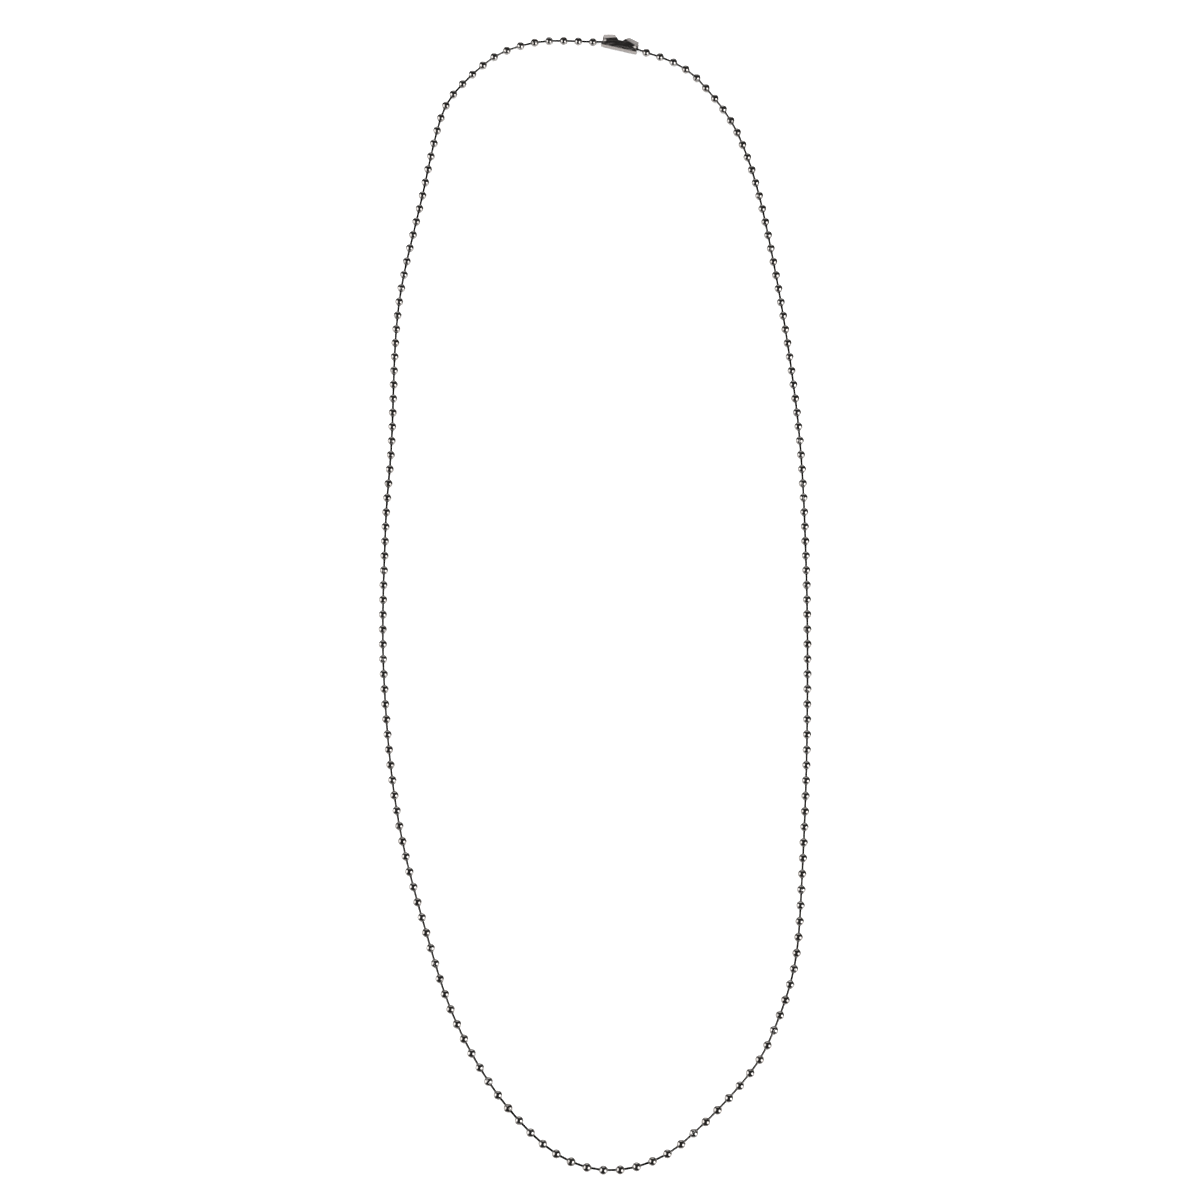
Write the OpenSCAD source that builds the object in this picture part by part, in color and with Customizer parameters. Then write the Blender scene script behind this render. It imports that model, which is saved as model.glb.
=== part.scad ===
// Ball chain necklace with a folded sheet connector, lying on a table.
// Hollow beads ride on a string of headed link pins. The end bead at each end of the
// chain sits in the connector, which is bent from one piece of sheet.
// Millimetres. The origin is the middle of the necklace's own rectangle, on the table,
// with the connector at +Y and +Z up.

/* [Chain] */
// Nominal length round the closed necklace
loop_length = 762; // [720:1:800]
// Diameter of a bead
bead_d = 2.4; // [2.2:0.05:2.6]
// Thickness of a bead's wall
bead_wall = 0.3; // [0.2:0.02:0.36]
// Bare pin that shows between two beads
pin_gap = 1.88; // [1.6:0.02:2.2]
// Diameter of a link pin
pin_d = 0.6; // [0.5:0.02:0.66]
// Room round the pin in a bead's hole
pin_play = 0.22; // [0.19:0.01:0.26]
// How much wider a pin's head is than the hole that it hangs in
head_over = 0.2; // [0.1:0.02:0.3]
// Length of the head inside a bead, in which the pins of both sides meet
head_l = 0.95; // [0.8:0.05:1.05]

/* [Connector] */
// Length of the connector
clip_length = 10.6; // [10:0.1:12]
// Height of the connector, from its back to the edge of its lips
clip_height = 3.9; // [3.7:0.05:4.2]
// Thickness of the sheet
sheet = 0.3; // [0.2:0.02:0.36]
// Room between an end bead and the walls of the connector
clip_play = 0.1; // [0.06:0.01:0.15]
// Radius of the long bends along the back
back_bend = 1.2; // [0.9:0.05:1.3]
// Height of the lip's fold line at an end of the connector
fold_end = 1.4; // [1.3:0.05:1.6]
// Height of the lip's fold line, carried on to the middle
fold_mid = 3.35; // [3.2:0.05:3.5]
// Angle by which a lip leans in from its wall
lip_angle = 22; // [16:1:24]
// Length of the slope that cuts off a lip's outer corner
lip_corner_l = 2.7; // [2.2:0.1:2.9]
// Height of the slope that cuts off a lip's outer corner
lip_corner_h = 0.65; // [0.5:0.05:0.9]
// Width of the middle notch at the edge of the lips
vee_w = 4.2; // [3.6:0.1:4.6]
// Depth of the middle notch
vee_depth = 1.75; // [1.5:0.05:2]
// Width of the floor of the middle notch
vee_floor = 1.2; // [0.9:0.05:1.4]
// Width of an end notch, where a pin leaves
notch_w = 1.38; // [1.32:0.02:1.46]
// Depth of an end notch
notch_depth = 1.5; // [1.2:0.05:1.8]
// How far an end notch lies below the line of the pins
notch_drop = 0.45; // [0.2:0.05:0.5]
// Room on each side of a pin in the slot of an end tab
slot_play = 0.15; // [0.1:0.01:0.25]

/* [Hidden] */
$fn = 48;

// Where the chain runs on the table, counter-clockwise from the left end of the connector
ROUTE = [
    [-14, 163.5], [-23, 161.5], [-30.5, 157.5], [-41.5, 145.5], [-45, 137],
    [-49.5, 113], [-55.5, 78], [-56.5, 35], [-57.5, 12], [-57, -30],
    [-52, -72], [-41.5, -110.5], [-35.5, -126.5], [-27, -141.5], [-18, -152.5],
    [-9, -160], [1, -163.5], [11.5, -162.5], [22, -157], [40.5, -138],
    [47.5, -124.5], [52, -110], [54, -91.5], [56.5, -50], [57.5, 0],
    [56, 46], [48.5, 104], [41, 133], [30, 150.5], [22.5, 156.5]
];
// Middle of the connector on the same route, and its angle to X
CLIP_AT = [7.1, 162.05];
CLIP_ANGLE = -14.5;

// Straight pieces that stand for each stretch between two route points
route_steps = 12;
// Passes that scale the route to the chain's length
fit_passes = 4;
// How far a cut reaches past the piece that it cuts
past = 1;

// Chain
bead_r = bead_d / 2;
pitch = bead_d + pin_gap;
hole_d = pin_d + 2 * pin_play;
head_d = hole_d + head_over;
// Each pin ends this far from the middle of the head, clear of the pin on the other side
pin_short = head_l / 6;

// Connector, measured from the line through its two end beads
half_in = bead_r + clip_play;
half_out = half_in + sheet;
half_l = clip_length / 2;
lip_y = clip_height - half_out;
end_bead_x = half_l - sheet - bead_r;
slot_w = pin_d + 2 * slot_play;
fold_slope = atan((fold_mid - fold_end) / half_l);

// Beads and the length of the route that they share
bead_count = round((loop_length - 2 * end_bead_x) / pitch) + 1;
chain_length = (bead_count - 1) * pitch;

function unit(v) = v / norm(v);
function turned(p, a) = [p.x * cos(a) - p.y * sin(a), p.x * sin(a) + p.y * cos(a)];
function column(points, k) = [for (p = points) p[k]];

// Smooth curve through a list of points, and the distance run at each step of it
function heading(p, i) =
    i == 0 ? unit(p[1] - p[0]) :
    i == len(p) - 1 ? unit(p[i] - p[i - 1]) :
    (p[i + 1] - p[i - 1]) / (norm(p[i + 1] - p[i]) + norm(p[i] - p[i - 1]));
function between(p, i, t) =
    let (l = norm(p[i + 1] - p[i]))
    (2 * pow(t, 3) - 3 * pow(t, 2) + 1) * p[i]
    + (pow(t, 3) - 2 * pow(t, 2) + t) * l * heading(p, i)
    + (3 * pow(t, 2) - 2 * pow(t, 3)) * p[i + 1]
    + (pow(t, 3) - pow(t, 2)) * l * heading(p, i + 1);
function curve(p) = [
    for (i = [0 : len(p) - 2], k = [0 : route_steps - 1]) between(p, i, k / route_steps),
    p[len(p) - 1]
];
function run(c, i = 1, sofar = [0]) =
    i == len(c) ? sofar :
    run(c, i + 1, concat(sofar, [sofar[i - 1] + norm(c[i] - c[i - 1])]));
function last(list) = list[len(list) - 1];

// The route scaled by k, from one end bead to the other
function knots(k) = [
    k * CLIP_AT - turned([end_bead_x, 0], CLIP_ANGLE),
    for (p = ROUTE) k * p,
    k * CLIP_AT + turned([end_bead_x, 0], CLIP_ANGLE)
];
function fit(k, passes) =
    passes == 0 ? k : fit(k * chain_length / last(run(curve(knots(k)))), passes - 1);
route_scale = fit(1, fit_passes);
route = curve(knots(route_scale));
route_run = run(route);

// Bead centres before the necklace is centred on the origin, at equal distances
loose_at = [
    for (i = [0 : bead_count - 1])
        let (s = min(i * pitch, last(route_run)))
        [for (k = [0, 1]) lookup(s, [for (j = [0 : len(route) - 1]) [route_run[j], route[j][k]]])]
];

// Outline of the unfolded connector, seen from the side that lies up
clip_right = [
    [half_l, -half_out],
    [half_l, lip_y - lip_corner_h],
    [half_l - lip_corner_l, lip_y],
    [vee_w / 2, lip_y],
    [vee_floor / 2, lip_y - vee_depth]
];
clip_outline = concat(
    clip_right,
    [for (i = [len(clip_right) - 1 : -1 : 0]) [-clip_right[i].x, clip_right[i].y]]
);

// The rectangle round everything, whose middle becomes the origin
clip_reach = [for (p = clip_outline) route_scale * CLIP_AT + turned(p, CLIP_ANGLE)];
function middle(k) =
    let (
        low = min(min(column(loose_at, k)) - bead_r, min(column(clip_reach, k))),
        high = max(max(column(loose_at, k)) + bead_r, max(column(clip_reach, k)))
    )
    (low + high) / 2;
centre = [middle(0), middle(1)];
function bead_height(i) = i == 0 || i == bead_count - 1 ? half_out : bead_r;
bead_at = [
    for (i = [0 : bead_count - 1])
        [loose_at[i].x - centre.x, loose_at[i].y - centre.y, bead_height(i)]
];
clip_at = [route_scale * CLIP_AT.x - centre.x, route_scale * CLIP_AT.y - centre.y, half_out];

// Puts what stands along Z along the direction v
module along(v) {
    rotate([0, acos(v.z / norm(v)), atan2(v.y, v.x)])
        children();
}

// Puts what stands along Z at bead number i, along the line between its two neighbours
module at_bead(i) {
    translate(bead_at[i])
        along(bead_at[min(i + 1, bead_count - 1)] - bead_at[max(i - 1, 0)])
            children();
}

// One hollow bead, its two holes on Z
module bead() {
    difference() {
        sphere(d = bead_d);
        sphere(d = bead_d - 2 * bead_wall);
        cylinder(d = hole_d, h = bead_d + 2 * past, center = true);
    }
}

// The beads, each drilled along the run of the chain
module beads() {
    color("gainsboro")
        for (i = [0 : bead_count - 1])
            at_bead(i) bead();
}

// One pin, from inside the head at the origin to inside the head at v
module pin(v) {
    along(v)
        translate([0, 0, pin_short])
            cylinder(d = pin_d, h = norm(v) - 2 * pin_short);
}

// The link pins, joined by the heads inside the beads
module link_pins() {
    color("dimgray") {
        for (i = [0 : bead_count - 2])
            translate(bead_at[i])
                pin(bead_at[i + 1] - bead_at[i]);
        for (i = [0 : bead_count - 1])
            at_bead(i) cylinder(d = head_d, h = head_l, center = true);
    }
}

// Section across the connector: a flat back with two long bends, open towards the lips
module clip_section(inset, top) {
    bend_at = half_out - back_bend;
    translate([-bend_at, inset - half_out])
        square([bend_at + top, 2 * (half_out - inset)]);
    translate([inset - half_out, -bend_at])
        square([half_out - inset + top, 2 * bend_at]);
    for (side = [-1, 1])
        translate([-bend_at, side * bend_at])
            circle(r = back_bend - inset);
}

// All that lies outside a lip, whose fold line falls from the middle to the end
module beyond_lip(inset) {
    reach = 2 * clip_length;
    translate([0, fold_mid - half_out, half_out])
        rotate([0, 0, -fold_slope])
            rotate([-lip_angle, 0, 0])
                translate([-reach / 2, -reach / 2, -inset])
                    cube(reach);
}

// Form of the connector as if solid, its skin taken off by inset
module clip_form(inset, top) {
    difference() {
        rotate([90, 0, 90])
            linear_extrude(clip_length - 2 * inset, center = true)
                clip_section(inset, top);
        for (x = [0, 1], z = [0, 1])
            mirror([x, 0, 0])
                mirror([0, 0, z])
                    beyond_lip(inset);
    }
}

// Notch and slot that let a pin out at the +X end
module pin_way() {
    translate([0, -notch_drop, -half_out - past])
        linear_extrude(2 * (half_out + past))
            polygon([
                [half_l - notch_depth, 0],
                [half_l - sheet, -notch_w / 2],
                [half_l + past, -notch_w / 2],
                [half_l + past, notch_w / 2],
                [half_l - sheet, notch_w / 2]
            ]);
    translate([half_l - sheet - past, 0, -slot_w / 2])
        cube([sheet + 2 * past, lip_y + past, slot_w]);
}

// The connector: the hollow form, cut to the outline of the sheet
module connector() {
    color("silver")
        translate(clip_at)
            rotate(CLIP_ANGLE)
                difference() {
                    intersection() {
                        clip_form(0, lip_y + past);
                        translate([0, 0, -half_out - past])
                            linear_extrude(2 * (half_out + past))
                                polygon(clip_outline);
                    }
                    clip_form(sheet, lip_y + 2 * past);
                    for (x = [0, 1])
                        mirror([x, 0, 0])
                            pin_way();
                }
}

beads();
link_pins();
connector();
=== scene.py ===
# Ball chain necklace with a folded sheet connector, lying on a white table.
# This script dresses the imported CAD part: it keeps every place and size of the frame, and
# makes the beads, the pins and the connector as finished metal parts. Units are metres.
import math
import random

import bmesh
import bpy
from mathutils import Matrix, Vector


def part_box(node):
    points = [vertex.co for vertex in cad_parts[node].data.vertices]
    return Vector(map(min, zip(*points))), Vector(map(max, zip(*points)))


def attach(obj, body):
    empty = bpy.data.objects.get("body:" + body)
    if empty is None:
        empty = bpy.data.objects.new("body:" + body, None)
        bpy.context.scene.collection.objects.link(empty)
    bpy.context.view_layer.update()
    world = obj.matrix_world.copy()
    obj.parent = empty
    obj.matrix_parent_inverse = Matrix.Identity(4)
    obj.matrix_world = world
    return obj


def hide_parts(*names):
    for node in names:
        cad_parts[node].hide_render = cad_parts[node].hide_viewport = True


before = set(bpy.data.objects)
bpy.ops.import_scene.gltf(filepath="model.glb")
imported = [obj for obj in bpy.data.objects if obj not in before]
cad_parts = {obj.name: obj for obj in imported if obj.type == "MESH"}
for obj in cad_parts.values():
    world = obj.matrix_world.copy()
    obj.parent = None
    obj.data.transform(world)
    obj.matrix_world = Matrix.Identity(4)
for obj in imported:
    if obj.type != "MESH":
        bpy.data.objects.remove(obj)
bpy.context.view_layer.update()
scene = bpy.context.scene

# The camera stands over the low end of the table and looks down on the loop at 70 degrees, so
# the tag end of the chain is nearer and looks larger than the connector's end. The lens is the
# one that makes the photograph's perspective on a sensor 36 mm wide.
CAMERA_AT = (0.00135, -0.27757, 0.7438)
CAMERA_DOWN = math.radians(70.19)
LENS_MM = 86.75

camera = bpy.data.objects.new("camera", bpy.data.cameras.new("camera"))
camera.data.sensor_width = 36
camera.data.lens = LENS_MM
camera.location = CAMERA_AT
camera.rotation_euler = (math.pi / 2 - CAMERA_DOWN, 0, 0)
scene.collection.objects.link(camera)
scene.camera = camera

# Each bead is a strip of nickel-plated steel rolled round the heads of two pins, with a seam from
# hole to hole. Tumbling gives every bead small dents and another side up. The two end beads are
# made pale and matt as a painted highlight, because the photograph shows near white in the
# connector's end notches.
MM = 0.001
BEAD_R = 1.2 * MM
BEAD_WALL = 0.3 * MM
BEAD_COLUMNS = 10
BEAD_ROWS = 3
BEAD_LEVELS = 2
SEAM_GAP = 0.03 * MM
HOLE_FROM_AXIS = math.radians(25.5)
RIM_CREASE = 0.8
OUT_OF_ROUND = 0.01
# A bead has a tone from 0 to 1; an end bead, pale and matt as a painted highlight, has this added
PAINTED_HIGHLIGHT_TONE = 2
PLATE = "#CFCCCA"
PLATE_WORN = "#BEB9B5"
# Dark colour: real grime in the pins' random patches, and painted shade in the metal's corners
GRIME_AND_SHADE = "#1D1817"
SHADE_REACH = 0.5 * MM
CORNER_SAMPLES = 8
FRAME_CLOSE = 1e-7


def bead_centres():
    """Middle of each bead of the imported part, from the box round each loose shell."""
    shells = bmesh.new()
    shells.from_mesh(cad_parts["beads"].data)
    bmesh.ops.remove_doubles(shells, verts=shells.verts, dist=FRAME_CLOSE)
    centres, left = [], set(shells.verts)
    while left:
        shell, edge_of_shell = set(), [left.pop()]
        while edge_of_shell:
            vert = edge_of_shell.pop()
            shell.add(vert)
            for edge in vert.link_edges:
                other = edge.other_vert(vert)
                if other in left:
                    left.remove(other)
                    edge_of_shell.append(other)
        low = Vector(min(v.co[k] for v in shell) for k in range(3))
        high = Vector(max(v.co[k] for v in shell) for k in range(3))
        centres.append((low + high) / 2)
    shells.free()
    return centres


def in_chain_order(centres):
    """The centres from the connector's left end bead, each followed by the nearest one left."""
    low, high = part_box("connector")
    in_connector = [c for c in centres if low.x < c.x < high.x and low.y < c.y < high.y]
    left = list(centres)
    chain = [min(in_connector, key=lambda c: c.x)]
    left.remove(chain[0])
    # The other end bead is as near to the first as the next bead is, so it waits until the last
    last = max(in_connector, key=lambda c: c.x)
    left.remove(last)
    while left:
        chain.append(min(left, key=lambda c: (c - chain[-1]).length))
        left.remove(chain[-1])
    return chain + [last]


chain = in_chain_order(bead_centres())
runs = [
    (chain[min(i + 1, len(chain) - 1)] - chain[max(i - 1, 0)]).normalized()
    for i in range(len(chain))
]


def drawn_in(step):
    """How near to its middle a smoothed ring comes whose cage turns by step at each point."""
    return (4 + 2 * math.cos(step)) / 6


def bead_cage():
    """The strip of one bead, rolled round Z, as the cage that a subdivision smooths."""
    row_step = (math.pi - 2 * HOLE_FROM_AXIS) / BEAD_ROWS
    column_step = (2 * math.pi - SEAM_GAP / BEAD_R) / BEAD_COLUMNS
    cage = bmesh.new()
    edge = []
    for row in range(BEAD_ROWS + 1):
        angle = HOLE_FROM_AXIS + row * row_step
        reach = BEAD_R if row in (0, BEAD_ROWS) else BEAD_R / drawn_in(row_step)
        edge.append(cage.verts.new((reach * math.sin(angle), 0, reach * math.cos(angle))))
    strip = [cage.edges.new(pair) for pair in zip(edge, edge[1:])]
    bmesh.ops.spin(
        cage,
        geom=edge + strip,
        cent=(0, 0, 0),
        axis=(0, 0, 1),
        angle=BEAD_COLUMNS * column_step,
        steps=BEAD_COLUMNS,
        use_merge=False,
    )
    # All columns but the two at the seam stand out by what the smoothing draws in
    for vert in cage.verts:
        at_seam = (math.atan2(vert.co.y, vert.co.x) + column_step / 2) % (2 * math.pi) < column_step
        if not at_seam:
            vert.co.xy /= drawn_in(column_step)
    bmesh.ops.recalc_face_normals(cage, faces=cage.faces)
    return cage


def copy_in(joined, cage, place, tone_layer, tone):
    """Adds a copy of the cage to the joined mesh, at the place, with its own tone."""
    mesh = bpy.data.meshes.new("cage")
    cage.to_mesh(mesh)
    first = len(joined.verts)
    joined.from_mesh(mesh)
    bpy.data.meshes.remove(mesh)
    joined.verts.ensure_lookup_table()
    for vert in joined.verts[first:]:
        vert.co = place @ vert.co
        vert[tone_layer] = tone


def turned_along(run, roll):
    """Turns Z to the run, after a roll about Z."""
    return run.to_track_quat("Z", "Y").to_matrix().to_4x4() @ Matrix.Rotation(roll, 4, "Z")


def string_of_beads(name, centres_and_runs):
    """One object of beads: each turned along the chain and rolled by chance, with its own tone."""
    cage = bead_cage()
    joined = bmesh.new()
    tone_layer = joined.verts.layers.float.new("tone")
    for centre, run in centres_and_runs:
        stretch = Matrix.Diagonal([1 + draw.uniform(-OUT_OF_ROUND, OUT_OF_ROUND) for _ in range(3)])
        place = Matrix.Translation(centre) @ turned_along(run, draw.uniform(0, 2 * math.pi))
        # The two end beads get the painted highlight: pale, matt plate instead of metal
        tone = draw.random() + (PAINTED_HIGHLIGHT_TONE if centre in (chain[0], chain[-1]) else 0)
        copy_in(joined, cage, place @ stretch.to_4x4(), tone_layer, tone)
    mesh = bpy.data.meshes.new(name)
    joined.to_mesh(mesh)
    joined.free()
    cage.free()
    beads = bpy.data.objects.new(name, mesh)
    scene.collection.objects.link(beads)
    beads.data.shade_smooth()
    wall = beads.modifiers.new("wall", "SOLIDIFY")
    wall.thickness = BEAD_WALL
    wall.offset = -1
    wall.edge_crease_outer = RIM_CREASE
    smooth = beads.modifiers.new("smooth", "SUBSURF")
    smooth.levels = smooth.render_levels = BEAD_LEVELS
    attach(beads, "root")
    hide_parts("beads")
    return beads


draw = random.Random(7)
third = len(chain) // 3
all_beads = list(zip(chain, runs))
bead_strings = [
    string_of_beads("bead_shells_left", all_beads[:third]),
    string_of_beads("bead_shells_low", all_beads[third : 2 * third]),
    string_of_beads("bead_shells_right", all_beads[2 * third :]),
]


def from_hex(text):
    """Linear colour of an sRGB hex value."""
    values = [int(text[i : i + 2], 16) / 255 for i in (1, 3, 5)]
    return [v / 12.92 if v <= 0.04045 else ((v + 0.055) / 1.055) ** 2.4 for v in values] + [1]


def add(tree, kind, gives, inputs=None, **settings):
    """Adds a node with its settings, fills or links its inputs, and returns the output it gives."""
    made = tree.nodes.new(kind)
    for name, value in settings.items():
        setattr(made, name, value)
    for name, value in (inputs or {}).items():
        socket = next(s for s in made.inputs if s.name == name and s.enabled)
        if isinstance(value, bpy.types.NodeSocket):
            tree.links.new(value, socket)
        else:
            socket.default_value = value
    return next((s for s in made.outputs if s.name == gives and s.enabled), None)


def empty_material(name):
    """A new material without nodes, and its node tree."""
    material = bpy.data.materials.new(name)
    material.use_nodes = True
    material.node_tree.nodes.clear()
    return material, material.node_tree


def tumbled_nickel_plate():
    """Mirror-bright plate with small dents, hairline smears, and painted shade in its corners."""
    material, tree = empty_material("tumbled_nickel_plate")
    place = add(tree, "ShaderNodeTexCoord", "Object")
    dents = add(tree, "ShaderNodeTexNoise", "Fac", {"Vector": place, "Scale": 900.0, "Detail": 1.0})
    normal = add(
        tree, "ShaderNodeBump", "Normal", {"Height": dents, "Strength": 0.35, "Distance": 0.00006}
    )
    smears = add(
        tree, "ShaderNodeTexNoise", "Fac", {"Vector": place, "Scale": 2600.0, "Detail": 4.0}
    )
    rough = add(
        tree,
        "ShaderNodeMapRange",
        "Result",
        {"Value": smears, "From Min": 0.35, "From Max": 0.75, "To Min": 0.05, "To Max": 0.16},
    )
    tone = add(tree, "ShaderNodeAttribute", "Fac", attribute_name="tone")
    # Painted highlight: the end beads lose their metal and their painted shade, and show pale and
    # matt
    metal_unless_painted_highlight = add(
        tree,
        "ShaderNodeMapRange",
        "Result",
        {"Value": tone, "From Min": 1.0, "From Max": PAINTED_HIGHLIGHT_TONE, "To Min": 1.0, "To Max": 0.0},
    )
    # Painted shade: the plate darkens to the dark colour where ambient occlusion finds corners
    corner = add(
        tree,
        "ShaderNodeAmbientOcclusion",
        "AO",
        {"Distance": SHADE_REACH},
        samples=CORNER_SAMPLES,
    )
    painted_shade = add(
        tree,
        "ShaderNodeMapRange",
        "Result",
        {"Value": corner, "From Min": 0.1, "From Max": 0.6, "To Min": metal_unless_painted_highlight, "To Max": 0.0},
    )
    plate = add(
        tree,
        "ShaderNodeMix",
        "Result",
        {"Factor": tone, "A": from_hex(PLATE), "B": from_hex(PLATE_WORN)},
        data_type="RGBA",
    )
    colour = add(
        tree,
        "ShaderNodeMix",
        "Result",
        {"Factor": painted_shade, "A": plate, "B": from_hex(GRIME_AND_SHADE)},
        data_type="RGBA",
    )
    metal = add(
        tree,
        "ShaderNodeBsdfPrincipled",
        "BSDF",
        {"Base Color": colour, "Metallic": metal_unless_painted_highlight, "Roughness": rough, "Normal": normal},
    )
    add(tree, "ShaderNodeOutputMaterial", None, {"Surface": metal})
    return material


plate = tumbled_nickel_plate()
for beads in bead_strings:
    beads.data.materials.append(plate)

# The link pins are short lengths of steel wire with both ends upset into heads. Each pin joins
# two beads: its heads sit inside them, so the bare wire between shows, and every pin is loose.
PIN_R = 0.3 * MM
HEAD_R = 0.6 * MM
HEAD_LONG = 0.36 * MM
HEAD_FROM_MIDDLE = 0.16 * MM
PIN_COLUMNS = 8
PIN_LEVELS = 1
PIN_WIRE = "#8A8684"
RUBBED_REACH = 0.7 * MM


def pin_cage(length):
    """One pin along Z, its middle at the origin, as the cage that a subdivision smooths."""
    around = drawn_in(2 * math.pi / PIN_COLUMNS)
    end = length / 2
    outline = [
        (0, end),
        (0.75 * HEAD_R, end),
        (HEAD_R, end - HEAD_LONG / 2),
        (PIN_R, end - HEAD_LONG),
        (PIN_R, end - 2 * HEAD_LONG),
    ]
    outline += [(r, -z) for r, z in reversed(outline)]
    cage = bmesh.new()
    edge = [cage.verts.new((r / around, 0, z)) for r, z in outline]
    side = [cage.edges.new(pair) for pair in zip(edge, edge[1:])]
    bmesh.ops.spin(
        cage,
        geom=edge + side,
        cent=(0, 0, 0),
        axis=(0, 0, 1),
        angle=2 * math.pi,
        steps=PIN_COLUMNS,
        use_merge=True,
    )
    bmesh.ops.remove_doubles(cage, verts=cage.verts, dist=FRAME_CLOSE)
    bmesh.ops.recalc_face_normals(cage, faces=cage.faces)
    return cage


joined = bmesh.new()
tone_layer = joined.verts.layers.float.new("tone")
for here, there in zip(chain, chain[1:]):
    cage = pin_cage((there - here).length - 2 * HEAD_FROM_MIDDLE)
    turn = turned_along(there - here, draw.uniform(0, 2 * math.pi))
    copy_in(joined, cage, Matrix.Translation((here + there) / 2) @ turn, tone_layer, draw.random())
    cage.free()
pin_mesh = bpy.data.meshes.new("dumbbell_pins")
joined.to_mesh(pin_mesh)
joined.free()
pins = bpy.data.objects.new("dumbbell_pins", pin_mesh)
scene.collection.objects.link(pins)
pins.data.shade_smooth()
smooth = pins.modifiers.new("smooth", "SUBSURF")
smooth.levels = smooth.render_levels = PIN_LEVELS
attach(pins, "root")
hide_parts("link_pins")


def drawn_wire():
    """Bare drawn wire: dark in the middle of each pin, rubbed pale and matt where beads swing."""
    material, tree = empty_material("drawn_steel_wire")
    place = add(tree, "ShaderNodeTexCoord", "Object")
    patches = add(
        tree, "ShaderNodeTexNoise", "Fac", {"Vector": place, "Scale": 1800.0, "Detail": 3.0}
    )
    corner = add(
        tree,
        "ShaderNodeAmbientOcclusion",
        "AO",
        {"Distance": RUBBED_REACH},
        samples=CORNER_SAMPLES,
    )
    rubbed = add(
        tree,
        "ShaderNodeMapRange",
        "Result",
        {"Value": corner, "From Min": 0.5, "From Max": 0.9, "To Min": 1.0, "To Max": 0.0},
    )
    rough = add(
        tree, "ShaderNodeMapRange", "Result", {"Value": rubbed, "To Min": 0.12, "To Max": 0.5}
    )
    bare = add(
        tree,
        "ShaderNodeMix",
        "Result",
        {"Factor": patches, "A": from_hex(PIN_WIRE), "B": from_hex(GRIME_AND_SHADE)},
        data_type="RGBA",
    )
    colour = add(
        tree,
        "ShaderNodeMix",
        "Result",
        {"Factor": rubbed, "A": bare, "B": from_hex(PLATE)},
        data_type="RGBA",
    )
    normal = add(
        tree, "ShaderNodeBump", "Normal", {"Height": patches, "Strength": 0.3, "Distance": 0.00004}
    )
    metal = add(
        tree,
        "ShaderNodeBsdfPrincipled",
        "BSDF",
        {"Base Color": colour, "Metallic": 1.0, "Roughness": rough, "Normal": normal},
    )
    add(tree, "ShaderNodeOutputMaterial", None, {"Surface": metal})
    return material


pins.data.materials.append(drawn_wire())

# The connector is plated sheet 0.3 mm thick, folded round its length into a trough with two lips
# that lean in. An end bead is pushed in at the middle notch as the sheet springs, and a notch at
# each end lets a pin out. Lengths are along it (x) and across it (y).
CLIP_HALF = 5.3 * MM
CLIP_BACK = -1.6 * MM
CLIP_EDGE = 2.3 * MM
CLIP_SIDE = 1.6 * MM
CLIP_SHEET = 0.3 * MM
BACK_BEND = 1.2 * MM
FOLD_MIDDLE = 1.75 * MM
FOLD_END = -0.2 * MM
LIP_LEAN = math.radians(22)
VEE_HALF = 2.1 * MM
VEE_LOW = 0.55 * MM
VEE_FLOOR_HALF = 0.6 * MM
CORNER_IN = 2.7 * MM
CORNER_DOWN = 0.65 * MM
NOTCH_HALF = 0.69 * MM
NOTCH_POINT = 3.8 * MM
NOTCH_DROP = 0.45 * MM
SLOT_HALF = 0.45 * MM
EDGE_ROUND = 0.035 * MM
SHEET_PLATE = "#DAD5D3"
SHEET_WORN = "#B4ACA9"
LIP_SHADE_REACH = 0.8 * MM
STREAK_STRETCH = (0.1, 1, 1)


def cut(sheet, faces, point, normal, drop=False):
    """Scores these faces along the plane through point, and drops what the normal points at."""
    geom = set(faces)
    for face in faces:
        geom.update(face.edges)
        geom.update(face.verts)
    bmesh.ops.bisect_plane(
        sheet,
        geom=list(geom),
        dist=FRAME_CLOSE,
        plane_co=point,
        plane_no=normal,
        clear_outer=drop,
    )


def left_of(start, end):
    """The normal that points to the left of the line from start to end, seen from above."""
    return Vector((start[1] - end[1], end[0] - start[0], 0)).normalized()


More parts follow.
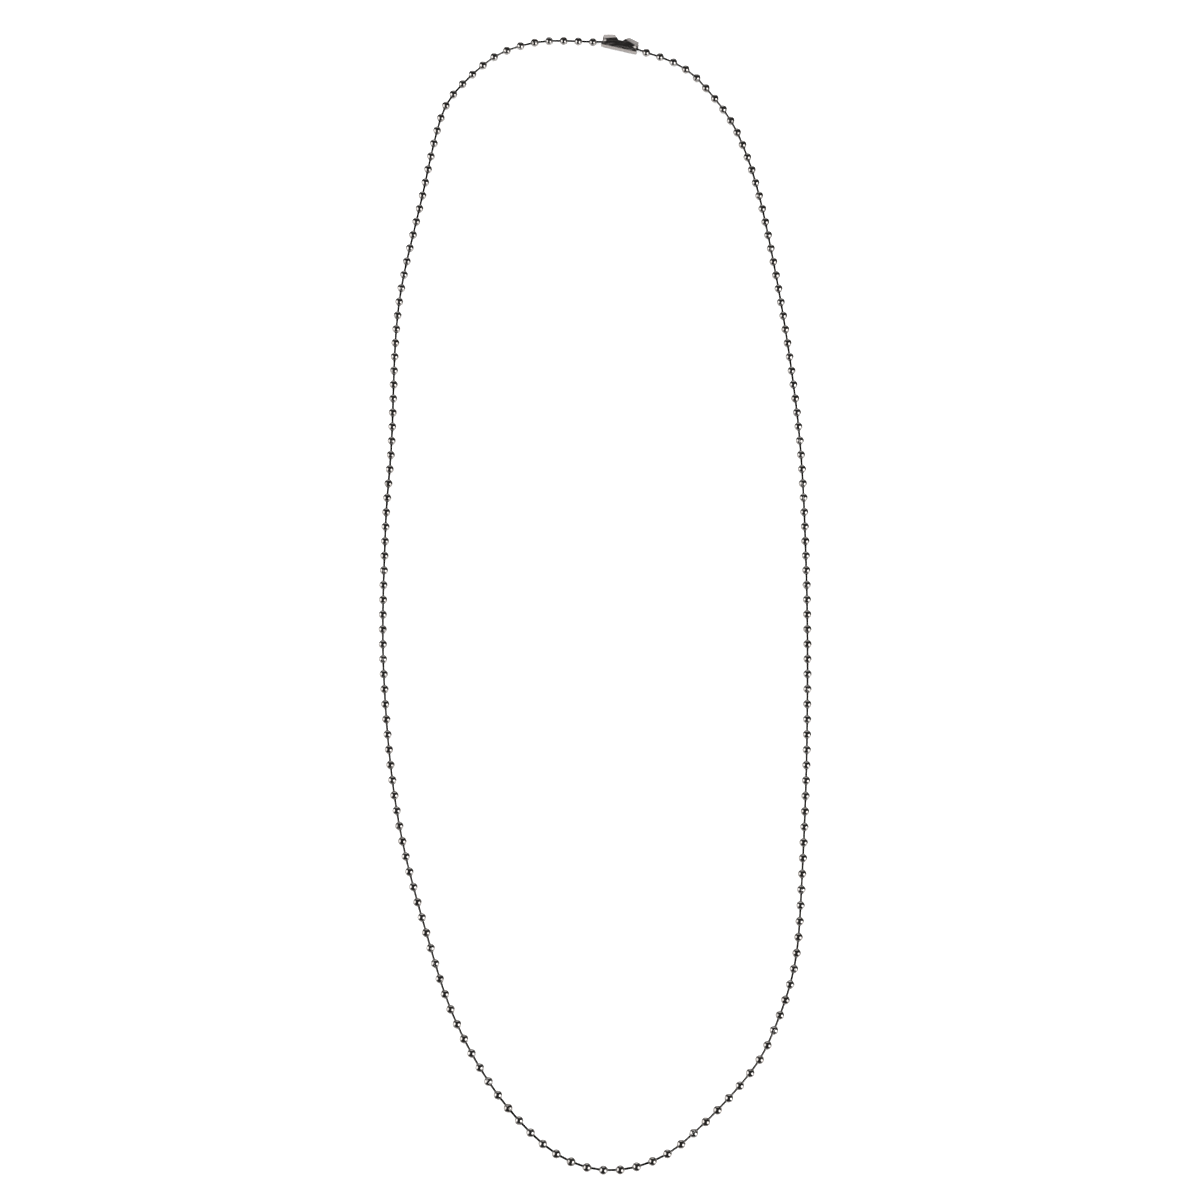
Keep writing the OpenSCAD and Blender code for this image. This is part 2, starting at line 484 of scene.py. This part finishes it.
def clip_quarter():
    """A quarter of the connector: half of its back, one wall with its lip, and half of an end."""
    sheet = bmesh.new()
    bmesh.ops.create_cube(sheet, size=1)
    bmesh.ops.translate(sheet, verts=sheet.verts, vec=(0.5, 0.5, 0.5))
    bmesh.ops.scale(sheet, verts=sheet.verts, vec=(CLIP_HALF, CLIP_EDGE - CLIP_BACK, CLIP_SIDE))
    bmesh.ops.translate(sheet, verts=sheet.verts, vec=(0, CLIP_BACK, 0))
    opened = [f for f in sheet.faces if f.normal.x < -0.5 or f.normal.z < -0.5 or f.normal.y > 0.5]
    bmesh.ops.delete(sheet, geom=opened, context="FACES")
    back_edge = [
        e
        for e in sheet.edges
        if all(v.co.y < CLIP_BACK / 2 and v.co.z > CLIP_SIDE / 2 for v in e.verts)
    ]
    bmesh.ops.bevel(
        sheet,
        geom=back_edge,
        offset=BACK_BEND,
        offset_type="OFFSET",
        affect="EDGES",
        segments=8,
        profile=0.5,
        material=-1,
    )

    # The middle notch, the outer corner of the lip and the line that the lip is folded on
    vee = ((VEE_FLOOR_HALF, VEE_LOW), (VEE_HALF, CLIP_EDGE))
    corner = ((CLIP_HALF - CORNER_IN, CLIP_EDGE), (CLIP_HALF, CLIP_EDGE - CORNER_DOWN))
    cut(sheet, sheet.faces[:], (*corner[0], 0), left_of(*corner), drop=True)
    cut(sheet, sheet.faces[:], (*vee[0], 0), left_of(*vee))
    over_floor = [f for f in sheet.faces if f.calc_center_median().x < VEE_HALF]
    cut(sheet, over_floor, (0, VEE_LOW, 0), (0, 1, 0))
    up = left_of(*vee)
    waste = [
        f
        for f in sheet.faces
        if (f.calc_center_median() - Vector((*vee[0], 0))).dot(up) > 0
        and f.calc_center_median().y > VEE_LOW
    ]
    bmesh.ops.delete(sheet, geom=waste, context="FACES")
    fold = ((0, FOLD_MIDDLE), (CLIP_HALF, FOLD_END))
    cut(sheet, sheet.faces[:], (*fold[0], 0), left_of(*fold))

    # The notch and the slot that let the pin out
    cut(sheet, sheet.faces[:], (NOTCH_POINT, 0, 0), (1, 0, 0))
    for side in (-1, 1):
        point = (NOTCH_POINT, -NOTCH_DROP)
        mouth = (CLIP_HALF - CLIP_SHEET, side * NOTCH_HALF - NOTCH_DROP)
        ending = [f for f in sheet.faces if f.calc_center_median().x > NOTCH_POINT]
        cut(sheet, ending, (*point, 0), left_of(point, mouth))
        ending = [f for f in sheet.faces if f.calc_center_median().x > NOTCH_POINT]
        cut(sheet, ending, (*mouth, 0), (0, 1, 0))
    end_tab = [f for f in sheet.faces if f.calc_center_median().x > CLIP_HALF - FRAME_CLOSE]
    cut(sheet, end_tab, (0, 0, SLOT_HALF), (0, 0, 1))
    waste = []
    for face in sheet.faces:
        x, y, z = face.calc_center_median()
        widening = NOTCH_HALF * (x - NOTCH_POINT) / (CLIP_HALF - CLIP_SHEET - NOTCH_POINT)
        in_slot = x > CLIP_HALF - FRAME_CLOSE and y > 0 and z < SLOT_HALF
        if abs(y + NOTCH_DROP) < min(widening, NOTCH_HALF) or in_slot:
            waste.append(face)
    bmesh.ops.delete(sheet, geom=waste, context="FACES")

    # The lip leans in from its fold line
    up = left_of(*fold)
    for vert in sheet.verts:
        beyond = (vert.co - Vector((*fold[0], 0))).dot(up)
        if beyond > 0 and vert.co.z > CLIP_SIDE - FRAME_CLOSE:
            vert.co.z -= beyond * math.tan(LIP_LEAN)
    return sheet


sheet = clip_quarter()
for axis in "XZ":
    bmesh.ops.mirror(
        sheet,
        geom=sheet.verts[:] + sheet.edges[:] + sheet.faces[:],
        matrix=Matrix.Identity(4),
        merge_dist=FRAME_CLOSE,
        axis=axis,
    )
bmesh.ops.remove_doubles(sheet, verts=sheet.verts, dist=FRAME_CLOSE)
bmesh.ops.dissolve_limit(
    sheet, angle_limit=math.radians(0.5), verts=sheet.verts, edges=sheet.edges
)
bmesh.ops.recalc_face_normals(sheet, faces=sheet.faces)
middle = (chain[0] + chain[-1]) / 2
through = chain[-1] - chain[0]
clip_turn = math.atan2(through.y, through.x)
place = Matrix.Translation(middle) @ Matrix.Rotation(clip_turn, 4, "Z")
bmesh.ops.transform(sheet, matrix=place, verts=sheet.verts)
clip_mesh = bpy.data.meshes.new("folded_connector")
sheet.to_mesh(clip_mesh)
sheet.free()
clip = bpy.data.objects.new("folded_connector", clip_mesh)
scene.collection.objects.link(clip)
clip.data.shade_smooth()
thick = clip.modifiers.new("sheet", "SOLIDIFY")
thick.thickness = CLIP_SHEET
thick.offset = -1
thick.use_even_offset = True
rounding = clip.modifiers.new("cut_edges", "BEVEL")
rounding.width = EDGE_ROUND
rounding.segments = 2
rounding.limit_method = "ANGLE"
rounding.angle_limit = math.radians(20)
shading = clip.modifiers.new("flat_shading", "WEIGHTED_NORMAL")
shading.keep_sharp = True
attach(clip, "root")
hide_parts("connector")


def barrel_polished_sheet():
    """Plated sheet: rolling marks along its length, small waves, and painted shade under the lips.
    """
    material, tree = empty_material("barrel_polished_nickel_sheet")
    place = add(tree, "ShaderNodeTexCoord", "Object")
    along = add(
        tree,
        "ShaderNodeMapping",
        "Vector",
        {"Vector": place, "Rotation": (0, 0, -clip_turn), "Scale": STREAK_STRETCH},
    )
    lines = add(
        tree, "ShaderNodeTexNoise", "Fac", {"Vector": along, "Scale": 6000.0, "Detail": 3.0}
    )
    streaks = add(
        tree, "ShaderNodeTexNoise", "Fac", {"Vector": along, "Scale": 3000.0, "Detail": 2.0}
    )
    waves = add(tree, "ShaderNodeTexNoise", "Fac", {"Vector": place, "Scale": 450.0, "Detail": 1.0})
    wavy = add(
        tree, "ShaderNodeBump", "Normal", {"Height": waves, "Strength": 0.3, "Distance": 0.0001}
    )
    normal = add(
        tree,
        "ShaderNodeBump",
        "Normal",
        {"Height": lines, "Strength": 0.25, "Distance": 0.00001, "Normal": wavy},
    )
    rough = add(
        tree,
        "ShaderNodeMapRange",
        "Result",
        {"Value": streaks, "From Min": 0.42, "From Max": 0.7, "To Min": 0.1, "To Max": 0.5},
    )
    # Painted shade: the sheet darkens where ambient occlusion finds the lips and the trough
    corner = add(
        tree,
        "ShaderNodeAmbientOcclusion",
        "AO",
        {"Distance": LIP_SHADE_REACH},
        samples=CORNER_SAMPLES,
    )
    painted_shade = add(
        tree,
        "ShaderNodeMapRange",
        "Result",
        {"Value": corner, "From Min": 0.25, "From Max": 0.75, "To Min": 0.8, "To Max": 0.0},
    )
    plate = add(
        tree,
        "ShaderNodeMix",
        "Result",
        {"Factor": lines, "A": from_hex(SHEET_PLATE), "B": from_hex(SHEET_WORN)},
        data_type="RGBA",
    )
    colour = add(
        tree,
        "ShaderNodeMix",
        "Result",
        {"Factor": painted_shade, "A": plate, "B": from_hex(GRIME_AND_SHADE)},
        data_type="RGBA",
    )
    metal = add(
        tree,
        "ShaderNodeBsdfPrincipled",
        "BSDF",
        {"Base Color": colour, "Metallic": 1.0, "Roughness": rough, "Normal": normal},
    )
    add(tree, "ShaderNodeOutputMaterial", None, {"Surface": metal})
    return material


clip.data.materials.append(barrel_polished_sheet())

# The table is a plain white sheet in soft light from above, which leaves no image in the metal.
# The metal mirrors a greyer, glossy sheet, which shines more the flatter it is looked along. Two
# round soft boxes stand low on the left and right, and a pale wall behind; the room is dark.
FLOOR_HALF = 6.0
FLOOR_WHITE = "#F8F8F8"
MIRRORED_SHEET = "#B1B0AF"
MIRRORED_SHINE = "#B3B2B2"
SHINE_ROUGHNESS = 0.1
MATT_UP_TO = 0.26
SHINES_FROM = 0.71

floor_mesh = bmesh.new()
bmesh.ops.create_grid(floor_mesh, x_segments=1, y_segments=1, size=FLOOR_HALF)
floor_data = bpy.data.meshes.new("table")
floor_mesh.to_mesh(floor_data)
floor_mesh.free()
floor = bpy.data.objects.new("table", floor_data)
scene.collection.objects.link(floor)
paper, tree = empty_material("coated_white_paper")
matt = add(tree, "ShaderNodeBsdfDiffuse", "BSDF", {"Color": from_hex(MIRRORED_SHEET)})
shine = add(
    tree,
    "ShaderNodeBsdfAnisotropic",
    "BSDF",
    {"Color": from_hex(MIRRORED_SHINE), "Roughness": SHINE_ROUGHNESS},
)
flatness = add(tree, "ShaderNodeLayerWeight", "Facing", {"Blend": 0.5})
share = add(
    tree,
    "ShaderNodeMapRange",
    "Result",
    {"Value": flatness, "From Min": MATT_UP_TO, "From Max": SHINES_FROM},
)
in_metal = add(tree, "ShaderNodeMixShader", "Shader", {"Fac": share})
white = add(tree, "ShaderNodeBsdfDiffuse", "BSDF", {"Color": from_hex(FLOOR_WHITE)})
seen = add(tree, "ShaderNodeLightPath", "Is Camera Ray")
sheet_or_image = add(tree, "ShaderNodeMixShader", "Shader", {"Fac": seen})
for mixed, pair in ((in_metal, (matt, shine)), (sheet_or_image, (in_metal, white))):
    for socket, shader in zip((1, 2), pair):
        tree.links.new(shader, mixed.node.inputs[socket])
add(tree, "ShaderNodeOutputMaterial", None, {"Surface": sheet_or_image})
floor.data.materials.append(paper)

SUN_POWER = 6.0
SUN_WIDE = math.radians(120)
sky = bpy.data.lights.new("overhead", "SUN")
sky.energy = SUN_POWER
sky.angle = SUN_WIDE
overhead = bpy.data.objects.new("overhead", sky)
overhead.visible_glossy = False
scene.collection.objects.link(overhead)

# Each soft box: its compass angle from +X, its height angle, its half angle, and its radiance
SOFT_BOX_FAR = 0.7
SOFT_BOXES = {"soft_box_left": (189, 17, 29, 1.75), "soft_box_right": (325, 26, 22.5, 2.8)}
for name, (compass, height, half_angle, radiance) in SOFT_BOXES.items():
    towards = Vector((math.cos(math.radians(height)), 0, math.sin(math.radians(height))))
    towards.rotate(Matrix.Rotation(math.radians(compass), 3, "Z"))
    reach = SOFT_BOX_FAR * math.tan(math.radians(half_angle))
    box = bpy.data.lights.new(name, "AREA")
    box.shape = "DISK"
    box.size = 2 * reach
    box.energy = radiance * math.pi * math.pi * reach**2
    holder = bpy.data.objects.new(name, box)
    holder.visible_camera = False
    holder.location = SOFT_BOX_FAR * towards
    holder.rotation_euler = towards.to_track_quat("Z", "Y").to_euler()
    scene.collection.objects.link(holder)

# The room's light from each direction: the wall shows where Y is high, up to a height Z
ROOM_DARK = 0.03
ROOM_WALL = 0.85
WALL_SIDE_Y = 0.83
WALL_FULL_Y = 0.94
WALL_FADES_Z = 0.6
WALL_ENDS_Z = 0.9
world = bpy.data.worlds.new("room")
scene.world = world
world.use_nodes = True
room = world.node_tree
room.nodes.clear()
direction = add(room, "ShaderNodeTexCoord", "Generated")
up = add(room, "ShaderNodeSeparateXYZ", "Z", {"Vector": direction})
straight_back = add(
    room,
    "ShaderNodeMapRange",
    "Result",
    {
        "Value": up.node.outputs["Y"],
        "From Min": WALL_SIDE_Y,
        "From Max": WALL_FULL_Y,
        "To Min": ROOM_DARK,
        "To Max": ROOM_WALL,
    },
)
mirrored_room = add(
    room,
    "ShaderNodeMapRange",
    "Result",
    {
        "Value": up,
        "From Min": WALL_FADES_Z,
        "From Max": WALL_ENDS_Z,
        "To Min": straight_back,
        "To Max": ROOM_DARK,
    },
)
seen = add(room, "ShaderNodeLightPath", "Is Camera Ray")
level = add(
    room,
    "ShaderNodeMapRange",
    "Result",
    {"Value": seen, "To Min": mirrored_room, "To Max": 1.0},
)
backdrop = add(
    room, "ShaderNodeBackground", "Background", {"Color": (1, 1, 1, 1), "Strength": level}
)
add(room, "ShaderNodeOutputWorld", None, {"Surface": backdrop})

scene.view_settings.view_transform = "Standard"
